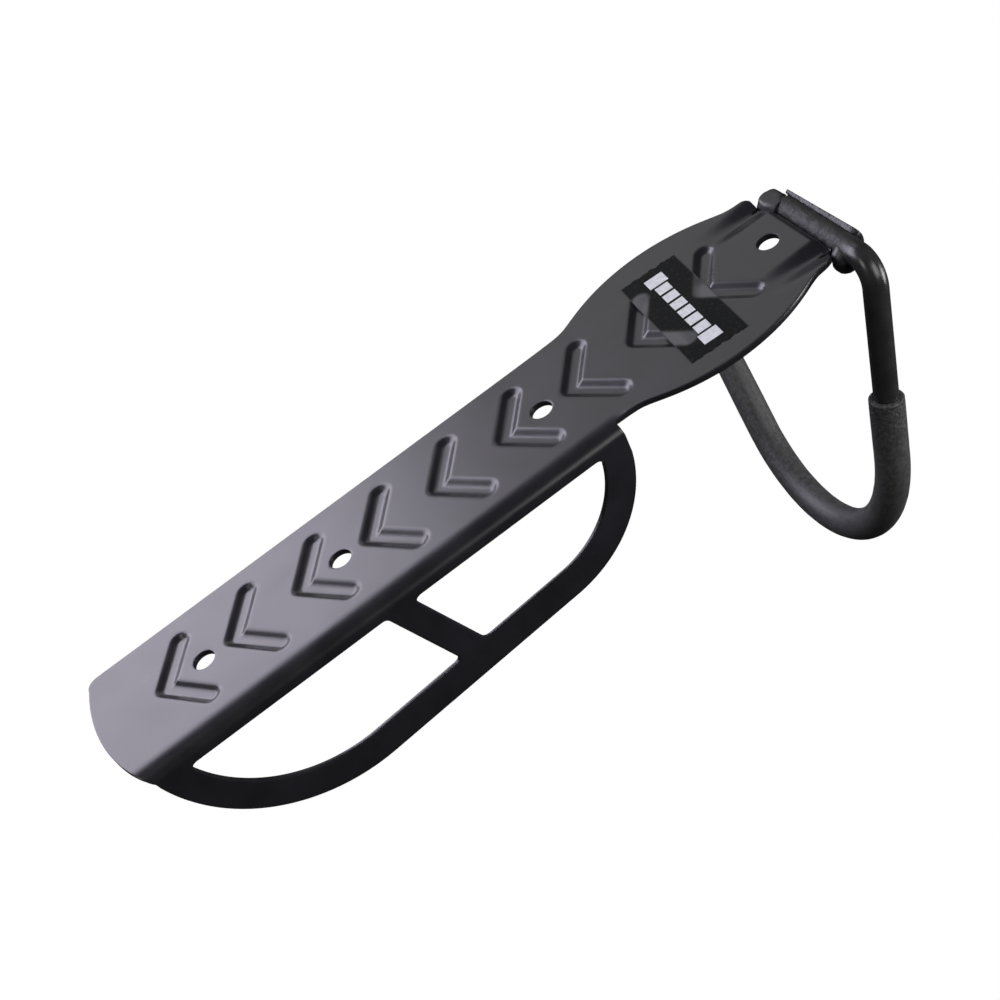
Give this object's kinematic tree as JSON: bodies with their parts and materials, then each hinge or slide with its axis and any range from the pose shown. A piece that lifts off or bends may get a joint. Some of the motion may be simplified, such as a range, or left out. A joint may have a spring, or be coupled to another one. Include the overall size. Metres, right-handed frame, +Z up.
{
  "type": "bicycle wall rack",
  "caption": "Pressed steel wall plate with chevron beads and a side guard, holding a sleeved wire hook that a bicycle wheel hangs from.",
  "frame": {"origin": "on the plate's flat back face, on its centre line, midway between the fifth and sixth chevrons", "axes": "+Z up the wall, +Y into the wall, +X to the right seen from the front, away from the guard"},
  "size_m": [0.1176, 0.1232, 0.2708],
  "materials": {
    "powder_coat": "satin black powder coat",
    "wire_paint": "gloss black paint",
    "sleeve_vinyl": "matt mottled dark grey soft vinyl",
    "weld_paint": "uneven black paint over a weld",
    "label_ink": "dark printed film"
  },
  "bodies": {
    "root": {"wall_plate": "powder_coat", "hook_wire": "wire_paint", "hook_sleeve": "sleeve_vinyl", "weld_guard_side": "weld_paint", "weld_open_side": "weld_paint", "label_film": "label_ink"}
  },
  "joints": []
}
